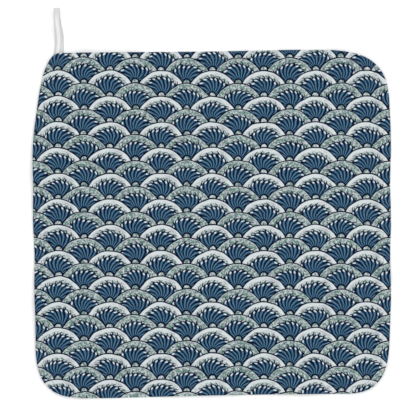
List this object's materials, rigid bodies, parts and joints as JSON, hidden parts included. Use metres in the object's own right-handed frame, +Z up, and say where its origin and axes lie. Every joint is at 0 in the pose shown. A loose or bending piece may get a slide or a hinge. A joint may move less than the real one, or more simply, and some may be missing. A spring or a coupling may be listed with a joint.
{
  "type": "tenugui hand towel with hanging loop",
  "caption": "Square printed cotton hand towel with round corners, a turned hem and a folded tape loop at a corner for hanging.",
  "frame": {"origin": "on the flat underside of the cloth, under the middle of its width and height", "axes": "+Z up out of the printed face, +Y up the towel towards the loop, +X to the right of someone reading the face"},
  "size_m": [0.2998, 0.3264, 0.0095],
  "materials": {
    "printed_cotton": "matte plain weave, printed in navy, blue and off-white",
    "white_tape": "matte woven cotton tape"
  },
  "bodies": {
    "root": {"towel_cloth": "printed_cotton", "hanging_loop": "white_tape"}
  },
  "joints": []
}
